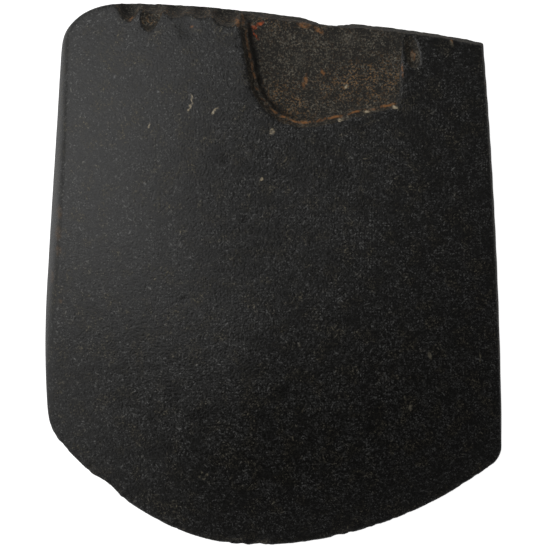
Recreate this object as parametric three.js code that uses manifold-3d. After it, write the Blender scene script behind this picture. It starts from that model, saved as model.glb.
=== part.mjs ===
// A polished stone axe head of dark dolerite, lying on its back face.
// Millimetres. +X runs across the blade, +Y towards the butt and +Z out of the front face.
// The origin is at the middle of the plan, on the surface that the axe lies on.
import * as THREE from 'three';
import { mergeVertices } from 'three/addons/utils/BufferGeometryUtils.js';
import Module from 'manifold-3d';

const { clamp, degToRad, lerp, smoothstep } = THREE.MathUtils;

// ---- driving dimensions ----

const HALF_THICKNESS = 13.2; // of the thickest part, from the mid-plane to either face
const REST_FLAT_DEPTH = 0.35; // taken off the back's highest part, so that the axe lies still
const EDGE_HALF_THICKNESS = 0.4; // the cutting edge is a little blunt
const BEVEL_LENGTH = 58; // the faces curve down to the cutting edge over this length
const BEVEL_POWER = 2.6; // how strongly that curve gathers near the edge
const CROWN = 0.8; // how much lower the faces are at the two sides than along the middle
const CROWN_POWER = 2.2;
const THICKEST_Y = -5; // from here the faces also fall towards the butt
const BUTT_FALL = 2.2; // by this much, over
const BUTT_FALL_LENGTH = 59;

// The plan outline is bounded by these edges. A bow is the radius of an edge's curve.
const LEFT = { x: -45.6, y: -13.95, bow: 209, straightFrom: 12.8 };
const RIGHT = { x: 45.68, y: -47.15, bow: 1138 };
const BUTT_HUMPS = [
  { x: -36.23, y: 54.24, bow: 287 },
  { x: -3.03, y: 50.77, bow: 222 },
];
const SHOULDER = { turn: 63.37, reach: 59.41, leftBlend: 2.03, buttBlend: 13.17 };
const BLADE_ARCS = [
  { x: -4.62, y: 26.12, radius: 80.28 },
  { x: 13.63, y: 16.87, radius: 75.58 },
];
const BLADE_BLEND = 4.56;
const CORNER_RADIUS = { buttRight: 0.64, bladeRight: 1.81, bladeLeft: 1.87 };

// The narrow sides: an upright band in the middle, then a facet that leans in to the face.
const SIDE_BAND = 3; // half-height of the upright band
const SIDE_RISE = 8.5; // height of the leaning facet
const LEFT_FACET = { atButt: 1.2, atBlade: 2.4 }; // its width in plan
const RIGHT_FACET = 0.6;
const SHOULDER_FACET = 2.4;
const BUTT_BAND = 4;
const BUTT_RISE = 7;
const BUTT_FACET = { left: 2.2, right: 1.0, from: -10, to: 26 };
const FACET_BLEND = { side: 3, shoulder: 4.5, butt: 2.2 }; // how softly the facets meet the face

// Flake scars. Each wall is a straight line in plan, given by a point on it and by the
// direction that it faces away from the scar, in degrees. The butt's end of a scar is open.
const MAIN_SCAR = {
  centre: [9, 42],
  left: { x: -5.1, y: 40, turn: 191 },
  low: { x: 12, y: 30.08, turn: -77.3 },
  right: { x: 25.6, y: 39, turn: -4.1 },
  cornerRadius: 11.8,
  depth: { atRight: 0.4, slope: 0.1 }, // the floor sinks away from the right wall
  // The wall goes down in two steps: inset from the rim, and share of the floor's depth.
  steps: [
    [0.8, 0.5],
    [1.4, 0.58],
    [2.2, 1],
    [5, 1],
    [9, 1],
  ],
};
const BACK_SCAR = {
  centre: [24, 46],
  left: { x: 13.6, y: 44, turn: 186 },
  low: { x: 23, y: 36, turn: -84 },
  right: { x: 34.5, y: 44, turn: 8 },
  cornerRadius: 8,
  depth: { atRight: 0.7, slope: 0.05 },
  steps: [
    [2, 0.7],
    [5, 1],
  ],
};
const OPEN_END_Y = 60; // scars run on to here, past the butt
const RIM_OVERLAP = 0.5; // a cutter starts this far outside its rim,
const RIM_LIFT = 0.4; // this high above the face,
const CUTTER_LID = 30; // and goes up to here, clear of the axe

// Flakes and nicks are parts of ellipsoids: centre, radii and turn around Z in degrees.
// The flakes overlap along the rims of the butt, and leave its middle whole.
const FRONT_FLAKES = [
  { at: [-27.8, 57.6, 13], radii: [5.4, 7, 9], turn: 6 },
  { at: [-22.6, 56.2, 13.6], radii: [5, 7.4, 10], turn: -8 },
  { at: [-14.6, 57, 13.4], radii: [5.6, 7.8, 9.4], turn: 4 },
  { at: [-8, 55.4, 13], radii: [4.4, 6.4, 8.4], turn: -5 },
  { at: [31, 54.2, 13], radii: [8, 7, 8], turn: -6 },
  { at: [41.5, 51.6, 12], radii: [5, 5.6, 7], turn: -9 },
];
const BACK_FLAKES = [
  { at: [-25, 58, -12.4], radii: [9, 8, 9], turn: 0 },
  { at: [-8, 57, -13], radii: [10, 8, 9.4], turn: -8 },
  { at: [9, 54.8, -12.6], radii: [8, 6.6, 8.6], turn: 5 },
  { at: [26, 53.6, -12.4], radii: [10, 7.4, 8.4], turn: -7 },
  { at: [-49.6, 8, -11], radii: [6, 12, 6], turn: 0 },
];
const NICKS = [
  { at: [11.57, 52.45, 3], radii: [6, 3, 13], turn: -3 },
  { at: [-34.43, -43.35, 0], radii: [5.5, 2.2, 2.4], turn: -38 },
  { at: [-6.43, -55.65, 0], radii: [2, 2, 1.8], turn: 0 },
  { at: [21.67, -51.75, -0.4], radii: [2.6, 1.9, 1.8], turn: 20 },
];

// Mesh resolution.
const OUTLINE_STEPS = 120;
const RIM_STEPS = 60; // around a flake scar
const ELLIPSOID_STEPS = 24;
const CORNER_WEIGHT = 12; // a turn of one radian counts as this many millimetres of outline
const RING_INSETS = [0, 0.6, 1.3, 2.2, 3.4, 5, 7.5, 11, 16, 22, 29, 36];
const RAY_SAMPLES = 3600; // fine steps by which an outline is measured
const RAY_REACH = 90; // longer than any ray from a middle to its outline
const RAY_HALVINGS = 40;

// ---- helpers ----

// The larger of two values, with the corner between them rounded to a radius.
function roundMax(a, b, radius) {
  const outer = Math.hypot(Math.max(a + radius, 0), Math.max(b + radius, 0));
  return Math.min(Math.max(a, b), -radius) + outer;
}

// The larger of two values, blended where they differ by less than a width.
function softMax(a, b, width) {
  const near = Math.max(width - Math.abs(a - b), 0) / width;
  return Math.max(a, b) + (near ** 3 * width) / 6;
}

function softMin(a, b, width) {
  return -softMax(-a, -b, width);
}

// How far a point is beyond a straight line that faces the given way.
function beyondLine(x, y, line) {
  const turn = degToRad(line.turn);
  return (x - line.x) * Math.cos(turn) + (y - line.y) * Math.sin(turn);
}

// ---- plan outline: each function is negative inside, in millimetres ----

function beyondLeft(x, y) {
  const t = y - LEFT.y;
  const curved = Math.min(t, LEFT.straightFrom);
  const bow = ((curved * curved) / 2 + (t - curved) * LEFT.straightFrom) / LEFT.bow;
  return LEFT.x + bow - x;
}

function beyondRight(x, y) {
  return x - RIGHT.x + (y - RIGHT.y) ** 2 / (2 * RIGHT.bow);
}

function beyondButt(x, y) {
  const heights = BUTT_HUMPS.map((hump) => hump.y - (x - hump.x) ** 2 / (2 * hump.bow));
  return y - Math.max(...heights);
}

function beyondShoulder(x, y) {
  const turn = degToRad(SHOULDER.turn);
  return y * Math.cos(turn) - x * Math.sin(turn) - SHOULDER.reach;
}

function beyondBlade(x, y) {
  const [main, left] = BLADE_ARCS.map((arc) => Math.hypot(x - arc.x, y - arc.y) - arc.radius);
  return softMax(main, left, BLADE_BLEND);
}

function beyondOutline(x, y) {
  const left = beyondLeft(x, y);
  const right = beyondRight(x, y);
  const butt = beyondButt(x, y);
  const blade = beyondBlade(x, y);
  const shoulder = beyondShoulder(x, y);
  return Math.max(
    softMax(left, shoulder, SHOULDER.leftBlend),
    softMax(shoulder, butt, SHOULDER.buttBlend),
    roundMax(butt, right, CORNER_RADIUS.buttRight),
    roundMax(right, blade, CORNER_RADIUS.bladeRight),
    roundMax(left, blade, CORNER_RADIUS.bladeLeft),
  );
}

function beyondScarRim(x, y, scar) {
  const left = beyondLine(x, y, scar.left);
  const low = beyondLine(x, y, scar.low);
  return Math.max(roundMax(left, low, scar.cornerRadius), beyondLine(x, y, scar.right));
}

// ---- height of a face over the mid-plane ----

// The polished face alone, as if it ran on past the sides and the butt.
function polishedHeight(x, y) {
  const fromEdge = clamp(-beyondBlade(x, y) / BEVEL_LENGTH, 0, 1);
  const rise = 1 - (1 - fromEdge) ** BEVEL_POWER;
  const crown = CROWN * Math.abs(x / RIGHT.x) ** CROWN_POWER;
  const buttFall = BUTT_FALL * (Math.max(y - THICKEST_Y, 0) / BUTT_FALL_LENGTH) ** 2;
  const full = HALF_THICKNESS - crown - buttFall;
  return EDGE_HALF_THICKNESS + (full - EDGE_HALF_THICKNESS) * rise;
}

// The face with the facets that lean in from the sides, the shoulder and the butt.
function faceHeight(x, y) {
  const tip = BLADE_ARCS[0].y - BLADE_ARCS[0].radius;
  const leftFacet = lerp(LEFT_FACET.atBlade, LEFT_FACET.atButt, smoothstep(y, tip, BUTT_HUMPS[0].y));
  const alongButt = smoothstep(x, BUTT_FACET.from, BUTT_FACET.to);
  const buttFacet = lerp(BUTT_FACET.left, BUTT_FACET.right, alongButt);
  const left = SIDE_BAND - (beyondLeft(x, y) * SIDE_RISE) / leftFacet;
  const right = SIDE_BAND - (beyondRight(x, y) * SIDE_RISE) / RIGHT_FACET;
  const shoulder = SIDE_BAND - (beyondShoulder(x, y) * SIDE_RISE) / SHOULDER_FACET;
  const butt = BUTT_BAND - (beyondButt(x, y) * BUTT_RISE) / buttFacet;
  let height = softMin(polishedHeight(x, y), left, FACET_BLEND.side);
  height = softMin(height, right, FACET_BLEND.side);
  height = softMin(height, shoulder, FACET_BLEND.shoulder);
  return softMin(height, butt, FACET_BLEND.butt);
}

// ---- rings of points and the closed bodies between them ----

// The point where a ray from a centre meets the line at an inset from an outline.
function pointAtInset(beyond, centre, angle, inset) {
  const pointAt = (reach) =>
    new THREE.Vector2(Math.cos(angle), Math.sin(angle)).multiplyScalar(reach).add(centre);
  let inner = 0;
  let outer = RAY_REACH;
  for (let step = 0; step < RAY_HALVINGS; step += 1) {
    const middle = (inner + outer) / 2;
    const { x, y } = pointAt(middle);
    if (beyond(x, y) < -inset) inner = middle;
    else outer = middle;
  }
  return pointAt(inner);
}

// Ray angles, spaced evenly along an outline and closer together where it turns.
function rayAngles(beyond, centre, count) {
  const angleOf = (i) => (i / RAY_SAMPLES) * 2 * Math.PI;
  const points = [];
  for (let i = 0; i <= RAY_SAMPLES + 1; i += 1) {
    points.push(pointAtInset(beyond, centre, angleOf(i), 0));
  }
  const travelled = [0];
  for (let i = 1; i <= RAY_SAMPLES; i += 1) {
    const before = points[i].clone().sub(points[i - 1]);
    const after = points[i + 1].clone().sub(points[i]);
    const turn = Math.abs(Math.atan2(before.cross(after), before.dot(after)));
    travelled.push(travelled[i - 1] + before.length() + CORNER_WEIGHT * turn);
  }
  const total = travelled[RAY_SAMPLES];
  const angles = [];
  for (let k = 0, i = 0; k < count; k += 1) {
    while (travelled[i] < (total * k) / count) i += 1;
    angles.push(angleOf(i));
  }
  return angles;
}

// One ring of plan points for each inset from an outline.
function planRings(beyond, centre, insets, count) {
  const angles = rayAngles(beyond, centre, count);
  return insets.map((inset) => angles.map((angle) => pointAtInset(beyond, centre, angle, inset)));
}

function raise(ring, heightAt) {
  return ring.map(({ x, y }) => new THREE.Vector3(x, y, heightAt(x, y)));
}

// A closed body: a bottom apex, rings from the bottom to the top, and a top apex.
function closedBody(bottom, rings, top) {
  const count = rings[0].length;
  const points = [bottom, ...rings.flat(), top];
  const topIndex = points.length - 1;
  const lastRing = topIndex - count;
  const indices = [];
  for (let i = 0; i < count; i += 1) {
    const next = (i + 1) % count;
    indices.push(1 + next, 1 + i, 0);
    indices.push(lastRing + i, lastRing + next, topIndex);
    for (let ring = 1; ring < lastRing; ring += count) {
      indices.push(ring + i, ring + next, ring + count + next);
      indices.push(ring + i, ring + count + next, ring + count + i);
    }
  }
  const geometry = new THREE.BufferGeometry().setFromPoints(points);
  geometry.setIndex(indices);
  return geometry;
}

function unbrokenAxe() {
  const plan = planRings(beyondOutline, new THREE.Vector2(), RING_INSETS, OUTLINE_STEPS);
  const front = plan.map((ring) => raise(ring, faceHeight));
  const back = plan.map((ring) => raise(ring, (x, y) => -faceHeight(x, y)));
  const middle = faceHeight(0, 0);
  const bottom = new THREE.Vector3(0, 0, -middle);
  return closedBody(bottom, [...back.reverse(), ...front], new THREE.Vector3(0, 0, middle));
}

// ---- breaks ----

// A closed solid from a flake scar's floor up to a lid clear of the axe.
function scarCutter(scar) {
  const centre = new THREE.Vector2(...scar.centre);
  const beyond = (x, y) => Math.max(beyondScarRim(x, y, scar), y - OPEN_END_Y);
  const depthAt = (x, y) => scar.depth.atRight - scar.depth.slope * beyondLine(x, y, scar.right);
  const floorAt = (share) => (x, y) => polishedHeight(x, y) - share * depthAt(x, y);
  const insets = [-RIM_OVERLAP, ...scar.steps.map(([inset]) => inset)];
  const [rim, ...plan] = planRings(beyond, centre, insets, RIM_STEPS);
  const floor = plan.map((ring, i) => raise(ring, floorAt(scar.steps[i][1])));
  const lifted = raise(rim, (x, y) => polishedHeight(x, y) + RIM_LIFT);
  const lid = raise(rim, () => CUTTER_LID);
  const bottom = new THREE.Vector3(centre.x, centre.y, floorAt(1)(centre.x, centre.y));
  const top = new THREE.Vector3(centre.x, centre.y, CUTTER_LID);
  return closedBody(bottom, [...floor.reverse(), lifted, lid], top);
}

function ellipsoid({ at, radii, turn }) {
  const geometry = new THREE.SphereGeometry(1, ELLIPSOID_STEPS, (ELLIPSOID_STEPS * 2) / 3);
  geometry.rotateX(Math.PI / 2).scale(...radii);
  return geometry.rotateZ(degToRad(turn)).translate(...at);
}

// Everything below the plane that the axe lies on.
function belowRest() {
  const size = 200;
  const top = REST_FLAT_DEPTH - HALF_THICKNESS;
  return new THREE.BoxGeometry(size, size, size).translate(0, 0, top - size / 2);
}

// ---- boolean cuts ----

const wasm = await Module();
wasm.setup();

function toManifold(geometry) {
  const bare = geometry.clone();
  bare.deleteAttribute('normal');
  bare.deleteAttribute('uv');
  const merged = mergeVertices(bare, 1e-5);
  const vertProperties = new Float32Array(merged.attributes.position.array);
  const triVerts = new Uint32Array(merged.index.array);
  return new wasm.Manifold(new wasm.Mesh({ numProp: 3, vertProperties, triVerts }));
}

function toGeometry(manifold) {
  const mesh = manifold.getMesh();
  const geometry = new THREE.BufferGeometry();
  geometry.setAttribute('position', new THREE.BufferAttribute(mesh.vertProperties, 3));
  geometry.setIndex(new THREE.BufferAttribute(mesh.triVerts, 1));
  return geometry;
}

function axeHead() {
  const scars = [scarCutter(MAIN_SCAR), scarCutter(BACK_SCAR).rotateY(Math.PI)];
  const flakes = [...FRONT_FLAKES, ...BACK_FLAKES, ...NICKS].map(ellipsoid);
  let body = toManifold(unbrokenAxe());
  for (const cutter of [...scars, ...flakes, belowRest()]) body = body.subtract(toManifold(cutter));
  return toGeometry(body).translate(0, 0, HALF_THICKNESS - REST_FLAT_DEPTH);
}

// ---- scene graph ----

const stone = new THREE.MeshStandardMaterial({ color: 0x2a2a2c, roughness: 0.5, metalness: 0 });

const axe = new THREE.Group();
const head = new THREE.Mesh(axeHead(), stone);
head.name = 'axe_head';
axe.add(head);

export default axe;
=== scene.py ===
"""A polished stone axe head of dark dolerite, lying on its back face on a pale studio floor.

The axe is one piece. Its ground faces, its narrow sides, its curved edge and the breaks at its
butt are one formula, which Geometry Nodes turn into a closed mesh. Lengths inside the formula and
the material are millimetres, with x and y from the middle of the plan. In the formula z is the
height over the mid-plane, and in the material it is the height over the rest plane.
"""

import math

import bpy
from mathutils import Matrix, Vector


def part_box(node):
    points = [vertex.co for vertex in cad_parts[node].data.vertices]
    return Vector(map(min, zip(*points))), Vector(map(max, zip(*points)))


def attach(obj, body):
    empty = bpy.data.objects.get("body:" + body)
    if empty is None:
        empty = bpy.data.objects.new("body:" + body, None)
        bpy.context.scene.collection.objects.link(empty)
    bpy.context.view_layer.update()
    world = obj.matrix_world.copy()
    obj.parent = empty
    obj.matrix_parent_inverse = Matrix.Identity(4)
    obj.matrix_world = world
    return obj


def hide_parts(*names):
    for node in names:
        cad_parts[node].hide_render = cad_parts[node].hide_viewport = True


bl_info = {
    "name": "Polished stone axe",
    "version": (1, 0, 0),
    "blender": (4, 5, 0),
    "location": "3D View > Sidebar > Stone axe",
    "description": "Builds a ground and polished axe head of dark stone, and a studio around it",
    "category": "Add Mesh",
}

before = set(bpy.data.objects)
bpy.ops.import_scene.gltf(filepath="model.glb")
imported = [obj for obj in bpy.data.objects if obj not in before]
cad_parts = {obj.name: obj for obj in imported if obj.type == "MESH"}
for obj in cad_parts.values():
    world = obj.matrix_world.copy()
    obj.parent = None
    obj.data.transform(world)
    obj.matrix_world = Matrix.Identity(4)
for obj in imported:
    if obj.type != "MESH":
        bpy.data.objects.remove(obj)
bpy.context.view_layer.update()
NODE = "axe_head"
AXE_LOW, AXE_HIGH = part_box(NODE)
MM = 0.001

# ---- the axe's form, in millimetres ----

HALF_THICKNESS = 13.2
REST_FLAT_DEPTH = 0.35
MID_PLANE = HALF_THICKNESS - REST_FLAT_DEPTH  # its height over the rest plane
EDGE_HALF_THICKNESS = 0.4
BEVEL_LENGTH = 58
BEVEL_POWER = 2.6
CROWN = 0.8
CROWN_POWER = 2.2
THICKEST_Y = -5
BUTT_FALL = 2.2
BUTT_FALL_LENGTH = 59

LEFT = {"x": -45.6, "y": -13.95, "bow": 209, "straight_from": 12.8}
RIGHT = {"x": 45.68, "y": -47.15, "bow": 1138}
BUTT_HUMPS = (
    {"x": -36.23, "y": 54.24, "bow": 287},
    {"x": -3.03, "y": 50.77, "bow": 222},
)
SHOULDER = {"turn": 63.37, "reach": 59.41, "left_blend": 2.03, "butt_blend": 13.17}
BLADE_ARCS = (
    {"x": -4.62, "y": 26.12, "radius": 80.28},
    {"x": 13.63, "y": 16.87, "radius": 75.58},
)
BLADE_BLEND = 4.56
CORNER_RADIUS = {"butt_right": 0.64, "blade_right": 1.81, "blade_left": 1.87}
NOSE_BLEND = 0.9  # rounds the line where the faces meet the outline

SIDE_BAND = 3
SIDE_RISE = 8.5
LEFT_FACET = {"at_butt": 2.3, "at_blade": 3.1}
RIGHT_FACET = 0.6
SHOULDER_FACET = 2.4
BUTT_BAND = 4
BUTT_RISE = 7
BUTT_FACET = {"left": 2.6, "right": 1.0, "from": -10, "to": 26}
FACET_BLEND = {"side": 4.5, "shoulder": 5}
BUTT_CORNER = -31  # the butt is ground left of here, and broken right of here
BUTT_STEP = 3  # past the corner each lies this far outside the other, reached over this width
FRONT_HEIGHTS = (4, 6)  # what belongs to the front face alone fades in between these heights

# Each wall of a flake scar is a straight line in plan: a point, and the way it faces.
MAIN_SCAR = {
    "left": {"x": -5.1, "y": 40, "turn": 191},
    "low": {"x": 12, "y": 30.08, "turn": -77.3},
    "right": {"x": 25.6, "y": 39, "turn": -4.1},
    "corner_radius": 11.8,
    "depth": {"at_right": 0.2, "slope": 0.104},
    # Each step of the wall: where it starts and ends, inwards from the rim, and its share.
    "steps": ((-0.1, 0.8, 0.52), (1.4, 2.2, 0.48)),
}
BACK_SCAR = {
    "left": {"x": 13.6, "y": 44, "turn": 186},
    "low": {"x": 23, "y": 36, "turn": -84},
    "right": {"x": 34.5, "y": 44, "turn": 8},
    "corner_radius": 8,
    "depth": {"at_right": 0.7, "slope": 0.05},
    "steps": ((-0.1, 2.4, 0.7), (2.4, 5, 0.3)),
}
RIM_LIFT = 1.5  # a scar's floor is this far above the face outside its rim
RIM_RISE = 0.6  # and gets there over this width

# Flakes and nicks are parts of ellipsoids: centre, radii and turn in degrees.
FLAKES = (
    ((-28.9, 56.8, 10), (2.7, 6.6, 9), 0),
    ((-24.2, 53.6, 11.2), (3.2, 6.8, 4), -12),
    ((-24.2, 57.8, 11), (4, 6.4, 9), 0),
    ((-19.4, 57.4, 11), (4, 6.5, 9), 0),
    ((-14.4, 57.6, 11), (3.8, 6.7, 9), 0),
    ((-9.4, 56.1, 11), (4.4, 6.8, 9), 4),
    ((-4.6, 55.4, 13), (4, 6.8, 8.4), -8),
    ((27.5, 45, 14.2), (2.7, 6.6, 3.9), 8),
    ((31, 54.2, 13), (8, 7, 8), -6),
    ((41.5, 51.6, 12), (5, 5.6, 7), -9),
    ((-25, 58, -12.4), (9, 8, 9), 0),
    ((-8, 57, -13), (10, 8, 9.4), -8),
    ((9, 54.8, -12.6), (8, 6.6, 8.6), 5),
    ((26, 53.6, -12.4), (10, 7.4, 8.4), -7),
    ((-49.6, 8, -11), (6, 12, 6), 0),
    ((11.57, 52.45, 3), (6, 3, 13), -3),
    ((-34.43, -43.35, 0), (5.5, 2.2, 2.4), -38),
    ((-6.43, -55.65, 0), (2, 2, 1.8), 0),
    ((21.67, -51.75, -0.4), (2.6, 1.9, 1.8), 20),
)

HOLLOW_FLOOR = 0.2  # share of its radius over which a hollow is level
# Shallow smooth hollows in the front face: x, y, radius and depth.
HOLLOWS = (
    (-17.2, 49, 2.9, 0.14),
    (-17.5, -4.9, 1.5, 0.05),
    (-5.5, 10.8, 1.2, 0.05),
    (2.2, -23.2, 1.8, 0.06),
    (-9.4, 22.6, 1.6, 0.05),
    (19.3, -30.5, 1.4, 0.05),
)

# Roughness of the broken stone: size of the grain, and height.
BREAK_GRAINS = ((4.2, 0.4), (1.5, 0.3), (0.7, 0.2))
FLAKE_WOBBLE = (1.7, 0.5)  # size and height of the waves in the flakes along the butt
RIM_WOBBLE = (1.9, 0.9)  # size and width of the waves in the main scar's rim
SCAR_CALM = 0.7  # share of the breaks' roughness that the main scar keeps
# Wear of the cutting edge, which deepens between two distances from its line, inside it.
EDGE_CHIPS = {"from": -2.6, "to": -0.4, "size": 2.2, "depth": 1.1}

# Unevenness of the ground faces.
SKIN_GRAINS = ((16, 0.1), (5, 0.035))


# ---- numbers in node trees ----

class Field:
    """A number at every point, as a socket of a node tree, that sums can be written with."""

    def __init__(self, tree, socket):
        self.tree = tree
        self.socket = socket

    def __add__(self, other):
        return maths("ADD", self, other)

    def __radd__(self, other):
        return maths("ADD", other, self)

    def __sub__(self, other):
        return maths("SUBTRACT", self, other)

    def __rsub__(self, other):
        return maths("SUBTRACT", other, self)

    def __mul__(self, other):
        return maths("MULTIPLY", self, other)

    def __rmul__(self, other):
        return maths("MULTIPLY", other, self)

    def __truediv__(self, other):
        return maths("DIVIDE", self, other)

    def __rtruediv__(self, other):
        return maths("DIVIDE", other, self)

    def __pow__(self, other):
        return maths("POWER", self, other)

    def __neg__(self):
        return maths("MULTIPLY", self, -1)

    def __abs__(self):
        return maths("ABSOLUTE", self)


def plug(tree, value, socket):
    """Joins a field to a socket, or sets a plain value on it."""
    if isinstance(value, Field):
        tree.links.new(value.socket, socket)
    else:
        socket.default_value = value


def tree_of(*values):
    return next(value.tree for value in values if isinstance(value, Field))


def maths(operation, *values):
    tree = tree_of(*values)
    node = tree.nodes.new("ShaderNodeMath")
    node.operation = operation
    for value, socket in zip(values, node.inputs):
        plug(tree, value, socket)
    return Field(tree, node.outputs[0])


def vector_maths(operation, *values, output=0):
    tree = tree_of(*values)
    node = tree.nodes.new("ShaderNodeVectorMath")
    node.operation = operation
    for value, socket in zip(values, node.inputs):
        plug(tree, value, socket)
    return Field(tree, node.outputs[output])


def larger(a, b):
    return maths("MAXIMUM", a, b)


def smaller(a, b):
    return maths("MINIMUM", a, b)


def soft_larger(a, b, width):
    """The larger of two numbers, blended where they differ by less than a width."""
    return maths("SMOOTH_MAX", a, b, width)


def soft_smaller(a, b, width):
    return maths("SMOOTH_MIN", a, b, width)


def join(x, y, z=0.0):
    """One vector from three numbers."""
    tree = tree_of(x, y, z)
    node = tree.nodes.new("ShaderNodeCombineXYZ")
    for value, socket in zip((x, y, z), node.inputs):
        plug(tree, value, socket)
    return Field(tree, node.outputs[0])


def split(vector):
    """The three numbers of a vector."""
    node = vector.tree.nodes.new("ShaderNodeSeparateXYZ")
    plug(vector.tree, vector, node.inputs[0])
    return [Field(vector.tree, output) for output in node.outputs]


def length(vector):
    return vector_maths("LENGTH", vector, output="Value")


def round_larger(a, b, radius):
    """The larger of two numbers, with the corner between them rounded to a radius."""
    outer = length(join(larger(a + radius, 0), larger(b + radius, 0)))
    return smaller(larger(a, b), -radius) + outer


def ramp(value, start, end, low=0.0, high=1.0):
    """A smooth rise from low at start to high at end."""
    tree = tree_of(value)
    node = tree.nodes.new("ShaderNodeMapRange")
    node.interpolation_type = "SMOOTHSTEP"
    for item, name in ((value, "Value"), (start, "From Min"), (end, "From Max"),
                       (low, "To Min"), (high, "To Max")):
        plug(tree, item, node.inputs[name])
    return Field(tree, node.outputs["Result"])


def noise(point, size, detail=2.0, shift=0.0, roughness=0.5):
    """Soft noise between about -0.5 and 0.5, with lumps of a size."""
    tree = point.tree
    node = tree.nodes.new("ShaderNodeTexNoise")
    moved = vector_maths("ADD", point, (shift, -shift, shift)) if shift else point
    plug(tree, moved, node.inputs["Vector"])
    node.inputs["Scale"].default_value = 1 / size
    node.inputs["Detail"].default_value = detail
    node.inputs["Roughness"].default_value = roughness
    factor = next(output for output in node.outputs if output.type == "VALUE")
    return Field(tree, factor) - 0.5


def beyond_line(x, y, line):
    """How far a point is beyond a straight line that faces the given way."""
    turn = math.radians(line["turn"])
    return (x - line["x"]) * math.cos(turn) + (y - line["y"]) * math.sin(turn)


# ---- plan outline: each is negative inside ----

def beyond_left(x, y):
    along = y - LEFT["y"]
    curved = smaller(along, LEFT["straight_from"])
    bow = (curved * curved / 2 + (along - curved) * LEFT["straight_from"]) / LEFT["bow"]
    return LEFT["x"] + bow - x


def beyond_right(x, y):
    along = y - RIGHT["y"]
    return x - RIGHT["x"] + along * along / (2 * RIGHT["bow"])


def beyond_butt(x, y):
    def height(hump):
        along = x - hump["x"]
        return hump["y"] - along * along / (2 * hump["bow"])
    return y - larger(*[height(hump) for hump in BUTT_HUMPS])


def beyond_shoulder(x, y):
    turn = math.radians(SHOULDER["turn"])
    return y * math.cos(turn) - x * math.sin(turn) - SHOULDER["reach"]


def beyond_blade(x, y):
    arcs = [length(join(x - arc["x"], y - arc["y"])) - arc["radius"] for arc in BLADE_ARCS]
    return soft_larger(*arcs, BLADE_BLEND)


def beyond_outline(x, y):
    """The ground outline: the sides, the edge and the butt's left corner. The rest is broken."""
    left = beyond_left(x, y)
    right = beyond_right(x, y)
    blade = beyond_blade(x, y)
    ground_butt = beyond_butt(x, y) - ramp(x, BUTT_CORNER, BUTT_CORNER + BUTT_STEP, 0, BUTT_STEP)
    shoulder = soft_larger(beyond_shoulder(x, y), ground_butt, SHOULDER["butt_blend"])
    outline = soft_larger(left, shoulder, SHOULDER["left_blend"])
    outline = larger(outline, round_larger(right, blade, CORNER_RADIUS["blade_right"]))
    return larger(outline, round_larger(left, blade, CORNER_RADIUS["blade_left"]))


# ---- heights over the mid-plane ----

def polished_height(x, y):
    """The polished face alone, as if it ran on past the sides and the butt."""
    from_edge = smaller(larger(-beyond_blade(x, y) / BEVEL_LENGTH, 0), 1)
    rise = 1 - (1 - from_edge) ** BEVEL_POWER
    crown = CROWN * abs(x / RIGHT["x"]) ** CROWN_POWER
    butt_fall = BUTT_FALL * (larger(y - THICKEST_Y, 0) / BUTT_FALL_LENGTH) ** 2
    full = HALF_THICKNESS - crown - butt_fall
    return EDGE_HALF_THICKNESS + (full - EDGE_HALF_THICKNESS) * rise


def ground_height(x, y, polished):
    """The polished face with the facets that lean in from the sides and the shoulder."""
    tip = BLADE_ARCS[0]["y"] - BLADE_ARCS[0]["radius"]
    facet = ramp(y, tip, BUTT_HUMPS[0]["y"], LEFT_FACET["at_blade"], LEFT_FACET["at_butt"])
    left = SIDE_BAND - beyond_left(x, y) * SIDE_RISE / facet
    right = SIDE_BAND - beyond_right(x, y) * (SIDE_RISE / RIGHT_FACET)
    shoulder = SIDE_BAND - beyond_shoulder(x, y) * (SIDE_RISE / SHOULDER_FACET)
    height = soft_smaller(polished, left, FACET_BLEND["side"])
    height = soft_smaller(height, right, FACET_BLEND["side"])
    return soft_smaller(height, shoulder, FACET_BLEND["shoulder"])


# ---- breaks: each is positive where stone is gone ----

def scar_wall(x, y, scar):
    """The scar's left and low walls, which run round its corner as one."""
    return round_larger(
        beyond_line(x, y, scar["left"]), beyond_line(x, y, scar["low"]), scar["corner_radius"])


def above_scar_floor(x, y, z, polished, scar, wobble=0):
    """How far a point is over a flake scar's floor, which steps down inside the scar's rim."""
    inset = smaller(wobble - scar_wall(x, y, scar), -beyond_line(x, y, scar["right"]))
    depth = scar["depth"]["at_right"] - scar["depth"]["slope"] * beyond_line(x, y, scar["right"])
    share = sum(ramp(inset, start, end) * part for start, end, part in scar["steps"])
    lift = ramp(inset, 0, -RIM_RISE, 0, RIM_LIFT)
    return z - (polished - depth * share + lift)


def inside_ellipsoid(point, centre, radii, turn):
    """About how far a point is inside an ellipsoid."""
    tree = point.tree
    node = tree.nodes.new("ShaderNodeVectorRotate")
    node.rotation_type = "Z_AXIS"
    node.inputs["Center"].default_value = (0, 0, 0)
    node.inputs["Angle"].default_value = -math.radians(turn)
    plug(tree, vector_maths("SUBTRACT", point, centre), node.inputs["Vector"])
    turned = Field(tree, node.outputs[0])
    scaled = vector_maths("DIVIDE", turned, radii)
    reach = length(scaled)
    steepness = length(vector_maths("DIVIDE", scaled, radii))
    return reach * (1 - reach) / steepness


def hollow_depth(x, y):
    """How deep the front face's hollows are at a point."""
    depth = 0
    for centre_x, centre_y, radius, deepest in HOLLOWS:
        away = length(join(x - centre_x, y - centre_y))
        depth = ramp(away, radius, radius * HOLLOW_FLOOR, 0, deepest) + depth
    return depth


def edge_chips(point, x, y):
    """Fine irregular wear that eats into the cutting edge."""
    zone = ramp(beyond_blade(x, y), EDGE_CHIPS["from"], EDGE_CHIPS["to"], 0, EDGE_CHIPS["depth"])
    return larger(noise(point, EDGE_CHIPS["size"], detail=2, shift=3), 0) * zone


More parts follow.
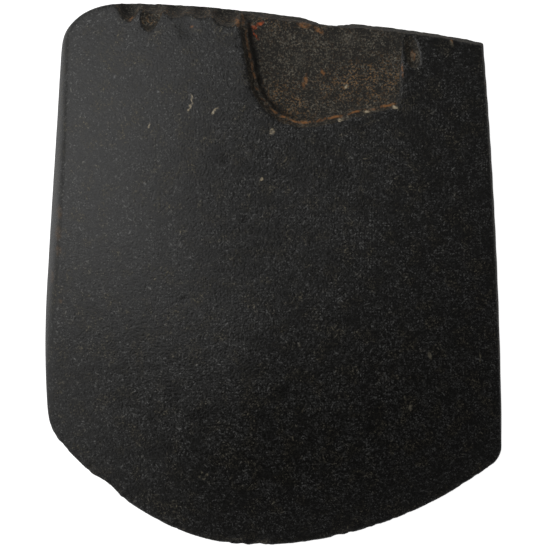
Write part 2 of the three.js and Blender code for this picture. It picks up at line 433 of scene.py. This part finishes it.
def beyond_broken_butt(x, y, z):
    """The broken butt, which leans in towards both faces."""
    facet = ramp(x, BUTT_FACET["from"], BUTT_FACET["to"], BUTT_FACET["left"], BUTT_FACET["right"])
    slope = larger(abs(z) - BUTT_BAND, 0) * facet / BUTT_RISE
    kept = ramp(x, BUTT_CORNER, BUTT_CORNER - BUTT_STEP, 0, BUTT_STEP)
    return beyond_butt(x, y) + slope - kept


# ---- node trees ----

def new_tree(name, inputs):
    """A Geometry Nodes tree with named inputs, as fields."""
    tree = bpy.data.node_groups.new(name, "GeometryNodeTree")
    for label, kind, default in inputs:
        item = tree.interface.new_socket(label, in_out="INPUT", socket_type=kind)
        item.default_value = default
    tree.interface.new_socket("Geometry", in_out="OUTPUT", socket_type="NodeSocketGeometry")
    entry = tree.nodes.new("NodeGroupInput")
    fields = {label: Field(tree, entry.outputs[label]) for label, _, _ in inputs}
    return tree, fields


def add(tree, kind, **values):
    """A node with values or fields in its named inputs."""
    node = tree.nodes.new(kind)
    for name, value in values.items():
        plug(tree, value, node.inputs[name.replace("_", " ")])
    return node


def axe_form(point, given):
    """The axe as a number that is negative inside it, with what the mesh carries for its finish."""
    x, y, z = split(point)
    polished = polished_height(x, y)
    skin_wave = sum(noise(point, size) * height for size, height in SKIN_GRAINS)
    faces = abs(z) - ground_height(x, y, polished)
    skin = soft_larger(faces, beyond_outline(x, y), NOSE_BLEND)
    skin = skin + skin_wave * given["Skin unevenness"]
    skin = skin + hollow_depth(x, y) * ramp(z, *FRONT_HEIGHTS)

    gone = beyond_broken_butt(x, y, z)
    for centre, radii, turn in FLAKES:
        gone = larger(gone, inside_ellipsoid(point, centre, radii, turn))
    gone = larger(gone, above_scar_floor(-x, y, -z, polished, BACK_SCAR))
    grain = sum(noise(point, size, shift=size) * height for size, height in BREAK_GRAINS)
    grain = grain * given["Break roughness"]
    wobble_size, wobble_height = FLAKE_WOBBLE
    gone = gone + grain + noise(point, wobble_size, detail=3, shift=17) * wobble_height
    rim_size, rim_width = RIM_WOBBLE
    rim = noise(join(x, y), rim_size, detail=3) * rim_width
    floor = above_scar_floor(x, y, z, polished, MAIN_SCAR, rim)
    gone = larger(gone, floor + grain * SCAR_CALM)

    solid = larger(larger(skin + edge_chips(point, x, y), gone), -MID_PLANE - z)
    carried = {"break_depth": -skin, "scar_inset": rim - scar_wall(x, y, MAIN_SCAR)}
    return solid, carried


def axe_tree(material):
    """The whole axe head: a block of voxels, meshed where the form's number is zero."""
    tree, given = new_tree("Axe head", (
        ("Voxel", "NodeSocketFloat", 0.3),
        ("Break roughness", "NodeSocketFloat", 1.0),
        ("Skin unevenness", "NodeSocketFloat", 1.0),
    ))
    position = Field(tree, tree.nodes.new("GeometryNodeInputPosition").outputs[0])
    middle = ((AXE_LOW.x + AXE_HIGH.x) / 2, (AXE_LOW.y + AXE_HIGH.y) / 2, AXE_LOW.z + MID_PLANE * MM)
    point = vector_maths("DIVIDE", vector_maths("SUBTRACT", position, middle), (MM, MM, MM))
    solid, carried = axe_form(point, given)

    margin = Vector((2, 2, 2)) * MM
    level = 100.0  # the density on the axe's surface, far over the 0 outside the block
    cube = add(tree, "GeometryNodeVolumeCube", Density=level - solid,
               Min=AXE_LOW - margin, Max=AXE_HIGH + margin)
    extent = (AXE_HIGH - AXE_LOW + 2 * margin) / MM
    for axis, size in zip("XYZ", extent):
        plug(tree, size / given["Voxel"], cube.inputs[f"Resolution {axis}"])
    mesher = add(tree, "GeometryNodeVolumeToMesh", Threshold=level)
    tree.links.new(cube.outputs[0], mesher.inputs["Volume"])
    geometry = Field(tree, mesher.outputs[0])
    for name, value in carried.items():
        keep = tree.nodes.new("GeometryNodeStoreNamedAttribute")
        keep.data_type = "FLOAT"
        keep.domain = "POINT"
        keep.inputs["Name"].default_value = name
        plug(tree, geometry, keep.inputs["Geometry"])
        plug(tree, value, keep.inputs["Value"])
        geometry = Field(tree, keep.outputs[0])
    realized = add(tree, "GeometryNodeRealizeInstances", Geometry=geometry)
    finish = add(tree, "GeometryNodeSetMaterial", Geometry=Field(tree, realized.outputs[0]))
    finish.inputs["Material"].default_value = material
    exit_node = tree.nodes.new("NodeGroupOutput")
    tree.links.new(finish.outputs[0], exit_node.inputs[0])
    return tree


def evaluated_mesh(piece, name):
    """A plain mesh of what a piece's modifiers make of it."""
    bpy.context.view_layer.update()
    depsgraph = bpy.context.evaluated_depsgraph_get()
    mesh = bpy.data.meshes.new_from_object(piece.evaluated_get(depsgraph), depsgraph=depsgraph)
    mesh.name = name
    return mesh


def triangle_count(mesh):
    return sum(len(polygon.vertices) - 2 for polygon in mesh.polygons)


# ---- the stone ----

# Crystals lie one in each cell: size of the cell, their half length and half width, and a shift
# that gives each kind places of its own. Of the larger ones only those show whose chance is high.
SMALL_CRYSTALS = (
    {"cell": 0.5, "half_length": 0.2, "half_width": 0.15, "shift": (0, 0, 0)},
    {"cell": 0.62, "half_length": 0.26, "half_width": 0.15, "shift": (6, 2, 3)},
)
LARGE_CRYSTALS = {"cell": 1.1, "half_length": 0.36, "half_width": 0.19, "shift": (9, 4, 7),
                  "chance": (0.5, 1)}
RARE_CRYSTALS = {"cell": 2.4, "half_length": 0.3, "half_width": 0.22, "shift": (3, 8, 5),
                 "chance": (0.75, 1)}
SMALL_SHARE = 0.9  # how strongly the small ones show
THREAD_SHARE = 0.25  # and the threads between them
SPOT_DARKNESS = 0.85  # share of the crystals that the dark spots hide

# Sizes of the patterns in the polished stone.
CROWD_SIZE = 3.4  # patches where the crystals crowd
THREAD_SIZE = 0.5  # thin pale threads between the crystals
THREAD_GAP_SIZE = 0.7
STAIN_SIZE = 3.2  # patches where the crystals are stained
SHEEN_SIZE = 3.5

# Sizes of the patterns in the broken stone.
GRIT_SIZE = 0.42
MOTTLE_SIZE = 2.4
SPECK_SIZE = 0.4
LEDGE_GAP_SIZE = 1.3

BREAK_DEPTHS = (0.06, 0.15)  # broken stone shows from the first depth, fully from the second
SPECK_PLACES = ((18, 38, 13, 6.5, 8), (3, 34.5, 8, 5, -50))  # laid out as the marks below
SPECKED_BUTT = (48, 51)  # y between which the brown specks get denser
SHADED_BUTT = (48.6, 50.4)  # y between which the painted shade over the broken butt begins

# Lines along the main scar's wall: a rust stain on its ledge, and painted shade in the groove at
# its foot. Inwards from the rim, each rises between the first two numbers and falls between the
# last two.
RUSTY_LEDGE = (0.75, 1.0, 1.15, 1.45)
GROOVE_SHADE = (1.3, 1.7, 2.2, 3)
LINE_WOBBLE = 0.6

METAL_SHARE = 0.85  # how much of a crystal's colour shows in the sheen instead
BROKEN_ROUGHNESS = 0.8
RELIEF = 0.09  # height of the finest grain, which is finer than the mesh
MARK_WOBBLE = {"size": 0.625, "width": 0.9}
MARK_PATCH_SIZE = 0.6

# Lone marks on the front face: x, y, half length, half width, and turn in degrees.
CREAM_MARKS = (
    (-0.3, 28.35, 0.85, 0.6, 75),
    (-16.2, 34.7, 1.3, 0.3, 95),
    (-16.7, 33, 1, 0.25, 60),
    (-11.7, 32.4, 1.25, 0.33, 48),
    (-2.35, 18.9, 0.5, 0.42, 20),
    (-43.6, -23.2, 1.3, 0.25, 108),
    (-43, -24.6, 0.5, 0.25, 90),
    (-24.7, 29.6, 0.8, 0.25, 70),
    (24, 33.2, 0.9, 0.35, 160),
    (18.4, 32.3, 1.1, 0.35, 5),
    (13.2, 30.6, 0.7, 0.35, -9),
    (14.4, 37.2, 0.6, 0.45, 77),
)
PALE_MARKS = (
    (6.7, -2, 0.45, 0.35, 10),
    (-0.6, -8.3, 0.7, 0.18, 111),
    (-31.6, 39.3, 0.5, 0.2, 98),
    (-30.3, 19.8, 0.45, 0.2, 90),
    (-1.1, 21.9, 0.45, 0.2, 53),
    (-31.2, 22.9, 0.4, 0.2, 72),
    (-28.5, 40.7, 0.42, 0.13, 90),
    (-20.9, 9.6, 0.3, 0.16, 135),
    (-33.3, 50.5, 1.35, 0.1, 36),
    (-35, 25.8, 0.9, 0.1, -64),
    (-17, 11.7, 0.26, 0.23, 0),
    (-22.9, 36.3, 0.4, 0.2, 0),
)
TAN_MARKS = (
    (-14.9, -40.2, 0.45, 0.35, 20),
    (-14.2, -39.4, 0.4, 0.35, 0),
    (-13.3, -39.8, 0.45, 0.35, 60),
    (-13.9, -40.6, 0.5, 0.35, 0),
    (27.2, -26.4, 0.9, 0.45, 95),
    (7.8, -47.6, 0.6, 0.4, 20),
    (35.3, 45.8, 0.5, 0.9, 10),
    (27.5, 43.2, 0.5, 1.3, 0),
    (31, -16, 0.5, 1.1, 10),
    (41, -16.4, 0.3, 1.5, 5),
)
BROWN_MARKS = (
    (-42.7, 12.4, 0.9, 2, 3),
    (-42.9, 8.4, 0.9, 2.4, 3),
    (-42.8, 4.8, 0.8, 1.6, 3),
    (-44.2, -0.4, 0.7, 1.9, 3),
    (-42.4, -5.2, 0.5, 0.8, 0),
)
GREY_MARKS = (
    (5.3, 43, 1.9, 1.4, 20),
    (14.9, 46.6, 2.4, 1.6, -20),
)
DARK_MARKS = (
    (-16.9, 49.3, 2.4, 1.9, 10),
    (-17.5, -4.9, 1.6, 1.2, 40),
    (-5.5, 10.8, 1.3, 1, 0),
    (2.2, -23.2, 2, 1.5, 60),
    (-9.4, 22.6, 1.8, 1.2, 30),
    (19.3, -30.5, 1.6, 1.2, 0),
    (-14.6, -27.6, 3.4, 2, 20),
    (-27.4, -38.2, 2.2, 1.6, -30),
    (-3, -47, 4, 1.6, -10),
)
ORANGE_MARKS = (
    (25.5, 40.4, 1.7, 0.35, 92),
    (6.2, 38.4, 1.9, 0.6, 77),
    (9.7, 40.2, 1, 0.45, 120),
    (6, 49.6, 1.6, 0.7, -10),
    (8.9, 48.6, 1.7, 0.6, -40),
    (-7.2, 50.1, 1.4, 0.6, 100),
    (-16.2, 49.2, 0.6, 0.35, 20),
    (-28.4, 50.9, 0.9, 0.35, 50),
    (35.4, 46.2, 0.3, 0.9, 8),
    (27.6, 43.4, 0.6, 1.4, 10),
)
RED_MARKS = (
    (-2.7, 49.9, 1.15, 0.5, 25),
    (-3.9, 49.1, 0.8, 0.5, -30),
    (-3.6, 47.6, 1.5, 0.32, -58),
)


def over(under, colour, share):
    """One colour laid over another, by a share from 0 to 1."""
    tree = tree_of(under, colour, share)
    node = tree.nodes.new("ShaderNodeMix")
    node.data_type = "RGBA"
    for value, socket in ((share, node.inputs[0]), (under, node.inputs[6]), (colour, node.inputs[7])):
        plug(tree, value, socket)
    return Field(tree, node.outputs[2])


def mesh_value(tree, name):
    """A number that the mesh carries at its points."""
    node = tree.nodes.new("ShaderNodeAttribute")
    node.attribute_name = name
    return Field(tree, node.outputs["Fac"])


def crystals(point, kind):
    """Short straight crystals that lie every way: how much one shows, and a chance of its own."""
    tree = point.tree
    moved = vector_maths("ADD", point, kind["shift"])
    node = tree.nodes.new("ShaderNodeTexVoronoi")
    plug(tree, moved, node.inputs["Vector"])
    node.inputs["Scale"].default_value = 1 / kind["cell"]
    colour = Field(tree, node.outputs["Color"])
    lie = vector_maths("NORMALIZE", vector_maths("SUBTRACT", colour, (0.5, 0.5, 0.5)))
    offset = vector_maths("SUBTRACT", moved, Field(tree, node.outputs["Position"]))
    along = vector_maths("DOT_PRODUCT", offset, lie, output="Value")
    along = larger(smaller(along, kind["half_length"]), -kind["half_length"])
    away = length(vector_maths("SUBTRACT", offset, vector_maths("MULTIPLY", lie, along)))
    draw = tree.nodes.new("ShaderNodeTexWhiteNoise")
    plug(tree, colour, draw.inputs["Vector"])
    shown = ramp(away, kind["half_width"], kind["half_width"] * 0.3)
    return shown, Field(tree, draw.outputs["Value"])


def marks(point, places, softness=0.5):
    """How much any of a list of small oval marks shows."""
    tree = point.tree
    shown = None
    for x, y, half_length, half_width, turn in places:
        node = tree.nodes.new("ShaderNodeMapping")
        node.vector_type = "TEXTURE"
        node.inputs["Location"].default_value = (x, y, 0)
        node.inputs["Rotation"].default_value = (0, 0, math.radians(turn))
        node.inputs["Scale"].default_value = (half_length, half_width, 1000)
        plug(tree, point, node.inputs["Vector"])
        mark = ramp(length(Field(tree, node.outputs[0])), 1, 1 - softness)
        shown = mark if shown is None else larger(shown, mark)
    return shown


def band(value, rise_from, rise_to, fall_from, fall_to):
    """A smooth rise and a smooth fall."""
    return ramp(value, rise_from, rise_to) * ramp(value, fall_to, fall_from)


def pale_crystals(point, spots):
    """How much pale crystal shows at each point, less in the dark spots."""
    crowded = ramp(noise(point, CROWD_SIZE, detail=4, roughness=0.65), -0.16, 0.03, 0.2, 1)
    threads = ramp(abs(noise(point, THREAD_SIZE, detail=1)), 0.08, 0.0)
    threads = threads * ramp(noise(point, THREAD_GAP_SIZE, detail=0, shift=40), -0.1, 0.06)
    shown = threads * THREAD_SHARE
    for kind in SMALL_CRYSTALS:
        crystal, chance = crystals(point, kind)
        shown = shown + crystal * chance ** 2 * SMALL_SHARE
    crystal, chance = crystals(point, LARGE_CRYSTALS)
    shown = shown + crystal * ramp(chance, *LARGE_CRYSTALS["chance"])
    crystal, chance = crystals(point, RARE_CRYSTALS)
    shown = shown * crowded + crystal * ramp(chance, *RARE_CRYSTALS["chance"])
    return shown * (1 - spots * SPOT_DARKNESS)


def broken_colour(look, point, front, flecks, grit):
    """Broken stone: pale grains, brown specks, rust and painted shade by the scar's wall and the butt.
    """
    x, y, _ = split(point)
    mottle = noise(point, MOTTLE_SIZE, detail=3, shift=25, roughness=0.6)
    grains = ramp(grit + mottle * 0.4, 0.02, 0.18) * 0.5 + flecks * 0.8
    colour = over(look.break_colour, look.grit_colour, grains)

    crowded = larger(ramp(y + mottle * 6, *SPECKED_BUTT, 0, 0.5), marks(point, SPECK_PLACES, 0.9))
    specks = ramp(noise(point, SPECK_SIZE, detail=2, shift=11), 0.0, 0.14)
    specks = specks * ramp(mottle, -0.15, 0.1, 0.2, 1)
    colour = over(colour, look.brown_colour, specks * (0.12 + 0.8 * crowded) * front)

    uneven = mesh_value(point.tree, "scar_inset") + mottle * LINE_WOBBLE
    gaps = ramp(noise(point, LEDGE_GAP_SIZE, detail=4, shift=2), -0.1, 0.12, 0, 0.8)
    ledge = band(uneven, *RUSTY_LEDGE) * gaps * ramp(x, -5, 3, 0.45, 1)
    colour = over(colour, look.rust_colour, ledge * front)
    # Painted shade: the groove at the foot of the scar's left and low walls is darkened with the stone's
    # own colour.
    groove_shade = band(uneven, *GROOVE_SHADE) * ramp(x, 14, -2) * front
    colour = over(colour, look.stone_colour, groove_shade * 0.6)

    # Painted shade: the broken butt's facets are darkened towards the butt, less on the pale grains.
    painted_butt_shade = ramp(y + x * 0.06 + mottle * 2, *SHADED_BUTT) * ramp(grains, 0, 0.5, 0.5, 0)
    return over(colour, look.butt_shade_colour, painted_butt_shade)


def with_marks(look, point, front, colour):
    """Lays the lone marks of the front face over a colour, patchy and with wavy outlines."""
    tree = point.tree
    waves = tree.nodes.new("ShaderNodeTexNoise")
    plug(tree, point, waves.inputs["Vector"])
    waves.inputs["Scale"].default_value = 1 / MARK_WOBBLE["size"]
    shake = vector_maths("SUBTRACT", Field(tree, waves.outputs["Color"]), (0.5, 0.5, 0.5))
    shaken = vector_maths("MULTIPLY_ADD", shake, (MARK_WOBBLE["width"],) * 3, point)
    patchy = ramp(noise(point, MARK_PATCH_SIZE, detail=1, shift=8), -0.15, 0.08, 0.25, 1) * front
    for places, tint, share in (
            (GREY_MARKS, look.grit_colour, 0.25), (BROWN_MARKS, look.brown_colour, 0.2),
            (ORANGE_MARKS, look.rust_colour, 0.6), (TAN_MARKS, look.warm_crystal_colour, 0.8),
            (RED_MARKS, look.smear_colour, 0.9), (PALE_MARKS, look.crystal_colour, 0.9),
            (CREAM_MARKS, look.cream_colour, 0.9)):
        colour = over(colour, tint, marks(shaken, places, 0.7) * patchy * share)
    return colour


def stone_material(look):
    """Dark dolerite: pale crystals in a black ground, browned where it is broken."""
    material = bpy.data.materials.new("dark_dolerite")
    material.use_nodes = True
    tree = material.node_tree
    shader = tree.nodes["Principled BSDF"]
    place = Field(tree, tree.nodes.new("ShaderNodeTexCoord").outputs["Object"])
    point = vector_maths("DIVIDE", place, (MM, MM, MM))
    _, _, z = split(point)
    front = ramp(z, *[MID_PLANE + height for height in FRONT_HEIGHTS])
    broken = ramp(mesh_value(tree, "break_depth"), *BREAK_DEPTHS)

    spots = marks(point, DARK_MARKS, 0.6) * front
    flecks = pale_crystals(point, spots)
    crystal_share = smaller(flecks, 1)
    stained = ramp(noise(point, STAIN_SIZE, detail=3, shift=70), -0.02, 0.14)
    crystal_colour = over(look.crystal_colour, look.warm_crystal_colour, stained)
    polished = over(look.stone_colour, crystal_colour, crystal_share)
    grit = noise(point, GRIT_SIZE, detail=2, shift=20, roughness=0.6)
    crust = broken_colour(look, point, front, flecks, grit)
    colour = with_marks(look, point, front, over(polished, crust, broken))
    tree.links.new(colour.socket, shader.inputs["Base Color"])

    glint = crystal_share * (METAL_SHARE - broken * METAL_SHARE)
    tree.links.new(glint.socket, shader.inputs["Metallic"])

    sheen = look.roughness + noise(point, SHEEN_SIZE, detail=3, shift=31) * 0.08
    sheen = sheen + grit * 0.25 + crystal_share * 0.2 - spots * 0.03
    rough = ramp(broken, 0, 1, sheen, BROKEN_ROUGHNESS)
    tree.links.new(rough.socket, shader.inputs["Roughness"])

    bump = add(tree, "ShaderNodeBump", Strength=1.0, Distance=RELIEF * MM)
    plug(tree, flecks * 0.3 + grit * (1 + broken), bump.inputs["Height"])
    tree.links.new(bump.outputs[0], shader.inputs["Normal"])
    return material


# ---- settings ----

class AxeSettings(bpy.types.PropertyGroup):
    """Sizes and looks of the axe head."""
    voxel: bpy.props.FloatProperty(
        name="Voxel", description="Size of the cells that the axe is meshed from",
        default=0.3 * MM, min=0.15 * MM, unit="LENGTH", precision=5)
    triangles: bpy.props.IntProperty(
        name="Triangles", description="Most triangles that the finished mesh may have",
        default=190000, min=1000)
    break_roughness: bpy.props.FloatProperty(
        name="Break roughness", description="Height of the grain on broken stone, 1 is natural",
        default=1.0, min=0.0, subtype="FACTOR", soft_max=2.0)
    skin_unevenness: bpy.props.FloatProperty(
        name="Skin unevenness", description="Height of the waves in the ground faces",
        default=1.0, min=0.0, subtype="FACTOR", soft_max=2.0)
    stone_colour: bpy.props.FloatVectorProperty(
        name="Stone colour", description="Colour of the polished stone between its crystals",
        default=(0.006, 0.0057, 0.0049, 1), size=4, subtype="COLOR", min=0, max=1)
    crystal_colour: bpy.props.FloatVectorProperty(
        name="Crystal colour", description="Colour of the pale crystals",
        default=(0.17, 0.17, 0.165, 1), size=4, subtype="COLOR", min=0, max=1)
    warm_crystal_colour: bpy.props.FloatVectorProperty(
        name="Stained crystal colour", description="Colour of the crystals where the stone is stained",
        default=(0.18, 0.162, 0.12, 1), size=4, subtype="COLOR", min=0, max=1)
    break_colour: bpy.props.FloatVectorProperty(
        name="Break colour", description="Colour of the broken stone",
        default=(0.014, 0.0125, 0.0095, 1), size=4, subtype="COLOR", min=0, max=1)
    brown_colour: bpy.props.FloatVectorProperty(
        name="Brown colour", description="Colour of the brown specks in the broken stone",
        default=(0.3, 0.17, 0.07, 1), size=4, subtype="COLOR", min=0, max=1)
    # Painted shade: the dark colour laid over the broken butt.
    butt_shade_colour: bpy.props.FloatVectorProperty(
        name="Butt shade colour", description="Dark colour painted over the broken butt as shade",
        default=(0.01, 0.0085, 0.006, 1), size=4, subtype="COLOR", min=0, max=1)
    grit_colour: bpy.props.FloatVectorProperty(
        name="Grit colour", description="Colour of the grains in the broken stone",
        default=(0.2, 0.18, 0.14, 1), size=4, subtype="COLOR", min=0, max=1)
    rust_colour: bpy.props.FloatVectorProperty(
        name="Rust colour", description="Colour of the iron stains",
        default=(0.4, 0.17, 0.05, 1), size=4, subtype="COLOR", min=0, max=1)
    smear_colour: bpy.props.FloatVectorProperty(
        name="Smear colour", description="Colour of the bright red smear at the butt",
        default=(0.6, 0.11, 0.025, 1), size=4, subtype="COLOR", min=0, max=1)
    cream_colour: bpy.props.FloatVectorProperty(
        name="Cream colour", description="Colour of the few cream marks",
        default=(0.6, 0.5, 0.34, 1), size=4, subtype="COLOR", min=0, max=1)
    roughness: bpy.props.FloatProperty(
        name="Roughness", description="How dull the polished stone is",
        default=0.29, min=0, max=1, subtype="FACTOR")


class StudioSettings(bpy.types.PropertyGroup):
    """The floor, the lights and the camera."""
    key_power: bpy.props.FloatProperty(
        name="Key power", description="Power of the large soft light",
        default=0.35, min=0, unit="POWER")
    fill_power: bpy.props.FloatProperty(
        name="Fill power", description="Power of the small soft light near the edge",
        default=0.03, min=0, unit="POWER")
    ceiling: bpy.props.FloatProperty(
        name="Ceiling", description="Brightness of the room overhead", default=0.13, min=0)
    window: bpy.props.FloatProperty(
        name="Window", description="Brightness of the room low down on the left",
        default=0.35, min=0)
    sky: bpy.props.FloatProperty(
        name="Sky", description="Brightness of the room around the horizon", default=0.22, min=0)
    floor_glow: bpy.props.FloatProperty(
        name="Floor glow", description="Brightness of the lit floor without the lamps",
        default=0.93, min=0)
    camera_distance: bpy.props.FloatProperty(
        name="Camera distance", description="Height of the camera over the axe",
        default=1.2, unit="LENGTH")


# ---- operators ----

class STONE_AXE_OT_head(bpy.types.Operator):
    """Build the axe head as one closed mesh and dress it as polished stone"""
    bl_idname = "stone_axe.head"
    bl_label = "Axe head"

    def execute(self, context):
        settings = context.scene.stone_axe
        material = stone_material(settings)
        piece = bpy.data.objects.new("polished_axe_head", bpy.data.meshes.new("start"))
        context.scene.collection.objects.link(piece)
        tree = axe_tree(material)
        modifier = piece.modifiers.new("Form", "NODES")
        modifier.node_group = tree
        coarse = 1
        values = {
            "Voxel": settings.voxel / MM * coarse,
            "Break roughness": settings.break_roughness,
            "Skin unevenness": settings.skin_unevenness,
        }
        for item in tree.interface.items_tree:
            if item.name in values:
                modifier[item.identifier] = values[item.name]
        mesh = evaluated_mesh(piece, "axe_cells")
        piece.modifiers.remove(modifier)
        if not mesh.polygons:
            raise RuntimeError("the axe's formula gave no surface")
        piece.data = mesh
        thin = piece.modifiers.new("Thin out", "DECIMATE")
        thin.ratio = min(1.0, settings.triangles / triangle_count(mesh))
        mesh = evaluated_mesh(piece, "axe_surface")
        piece.modifiers.remove(thin)
        piece.data = mesh
        mesh.shade_smooth()
        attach(piece, "root")
        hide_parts(NODE)
        return {"FINISHED"}


# ---- the studio ----

# In metres.
KEY_LIGHT = {"place": (-0.18, 0.08, 0.28), "target": (-0.03, 0.05, 0.02), "size": (0.3, 0.3)}
FILL_LIGHT = {"place": (-0.24, -0.14, 0.2), "target": (-0.03, -0.03, 0.02), "size": (0.16, 0.16)}
FLOOR_HALF_SIDE = 2.0
FLOOR_COLOUR = (0.9, 0.9, 0.9, 1)
FLOOR_ROUGHNESS = 0.9

# The room is laid out by the direction one looks in, from -1 to 1: across to the right, along to
# the butt, and up. Each pair is where a part of it begins and where it is full.
HORIZON = {"up": (0.9, 0.3), "lean": 0.4}  # paler behind the butt and on the left
FLOOR_LIGHT = {"up": (0.1, -0.3)}
CEILING = {"along": (-0.65, 0.05), "up": (0.2, 0.5)}
WINDOW = {"across": (-0.4, -0.8), "up": (-0.4, 0)}

# The square that the camera frames, in millimetres: its middle and its side.
VIEW = {"x": 0.27, "y": -0.05, "side": 110}
SENSOR_WIDTH = 36


def aim(thing, target):
    """Turns a light or camera to face a point."""
    thing.rotation_euler = (Vector(target) - thing.location).to_track_quat("-Z", "Y").to_euler()


def add_light(scene, name, layout, power):
    """A soft rectangular light."""
    lamp = bpy.data.lights.new(name, "AREA")
    lamp.shape = "RECTANGLE"
    lamp.size, lamp.size_y = layout["size"]
    lamp.energy = power
    light = bpy.data.objects.new(name, lamp)
    light.location = layout["place"]
    aim(light, layout["target"])
    scene.collection.objects.link(light)


def add_floor(scene, glow):
    """A lit table of white plastic, which shines by itself."""
    mesh = bpy.data.meshes.new("studio_floor")
    signs = ((-1, -1), (1, -1), (1, 1), (-1, 1))
    corners = [(across * FLOOR_HALF_SIDE, along * FLOOR_HALF_SIDE, AXE_LOW.z) for across, along in signs]
    mesh.from_pydata(corners, [], [(0, 1, 2, 3)])
    material = bpy.data.materials.new("lit_white_plastic")
    material.use_nodes = True
    shader = material.node_tree.nodes["Principled BSDF"]
    shader.inputs["Base Color"].default_value = FLOOR_COLOUR
    shader.inputs["Roughness"].default_value = FLOOR_ROUGHNESS
    shader.inputs["Emission Color"].default_value = (1, 1, 1, 1)
    shader.inputs["Emission Strength"].default_value = glow
    mesh.materials.append(material)
    floor = bpy.data.objects.new("studio_floor", mesh)
    scene.collection.objects.link(floor)
    # The room lights the axe from below instead, so that the glow can be set by itself.
    floor.visible_diffuse = False
    floor.visible_glossy = False


def add_sky(scene, brightness, overhead, beside):
    """The room: pale low down, with a ceiling that darkens towards the axe's edge, and a window."""
    world = bpy.data.worlds.new("studio")
    world.use_nodes = True
    tree = world.node_tree
    direction = Field(tree, tree.nodes.new("ShaderNodeTexCoord").outputs["Generated"])
    across, along, up = split(direction)
    horizon = ramp(up, *HORIZON["up"], 0, brightness)
    horizon = horizon * (1 + along * HORIZON["lean"] - across * HORIZON["lean"])
    below = ramp(up, *FLOOR_LIGHT["up"], 0, brightness)
    ceiling = ramp(along, *CEILING["along"], 0, overhead) * ramp(up, *CEILING["up"])
    window = ramp(across, *WINDOW["across"], 0, beside) * ramp(up, *WINDOW["up"])
    strength = horizon + below + ceiling + window
    plug(tree, strength, tree.nodes["Background"].inputs["Strength"])
    tree.nodes["Background"].inputs["Color"].default_value = (1, 1, 1, 1)
    scene.world = world


def add_camera(scene, distance):
    """A camera straight over the axe that frames a square a little larger than it."""
    data = bpy.data.cameras.new("camera")
    camera = bpy.data.objects.new("camera", data)
    camera.location = (VIEW["x"] * MM, VIEW["y"] * MM, MID_PLANE * MM + distance)
    data.sensor_width = SENSOR_WIDTH
    data.lens = data.sensor_width * distance / (VIEW["side"] * MM)
    scene.collection.objects.link(camera)
    scene.camera = camera


class STONE_AXE_OT_studio(bpy.types.Operator):
    """Lay a pale floor under the axe, light it softly and set the camera over it"""
    bl_idname = "stone_axe.studio"
    bl_label = "Studio"

    def execute(self, context):
        settings = context.scene.stone_axe_studio
        scene = context.scene
        add_floor(scene, settings.floor_glow)
        add_light(scene, "key", KEY_LIGHT, settings.key_power)
        add_light(scene, "fill", FILL_LIGHT, settings.fill_power)
        add_sky(scene, settings.sky, settings.ceiling, settings.window)
        add_camera(scene, settings.camera_distance)
        scene.view_settings.view_transform = "Standard"
        return {"FINISHED"}


class STONE_AXE_PT_panel(bpy.types.Panel):
    """Settings and steps of the stone axe"""
    bl_idname = "STONE_AXE_PT_panel"
    bl_label = "Stone axe"
    bl_space_type = "VIEW_3D"
    bl_region_type = "UI"
    bl_category = "Stone axe"

    def draw(self, context):
        for settings in (context.scene.stone_axe, context.scene.stone_axe_studio):
            for name in settings.__annotations__:
                self.layout.prop(settings, name)
        for operator in (STONE_AXE_OT_head, STONE_AXE_OT_studio):
            self.layout.operator(operator.bl_idname)


CLASSES = (AxeSettings, StudioSettings, STONE_AXE_OT_head, STONE_AXE_OT_studio, STONE_AXE_PT_panel)


def register():
    for cls in CLASSES:
        bpy.utils.register_class(cls)
    bpy.types.Scene.stone_axe = bpy.props.PointerProperty(type=AxeSettings)
    bpy.types.Scene.stone_axe_studio = bpy.props.PointerProperty(type=StudioSettings)


def unregister():
    del bpy.types.Scene.stone_axe_studio
    del bpy.types.Scene.stone_axe
    for cls in reversed(CLASSES):
        bpy.utils.unregister_class(cls)


def main():
    register()
    bpy.ops.stone_axe.head()
    bpy.ops.stone_axe.studio()


if __name__ == "__main__":
    main()
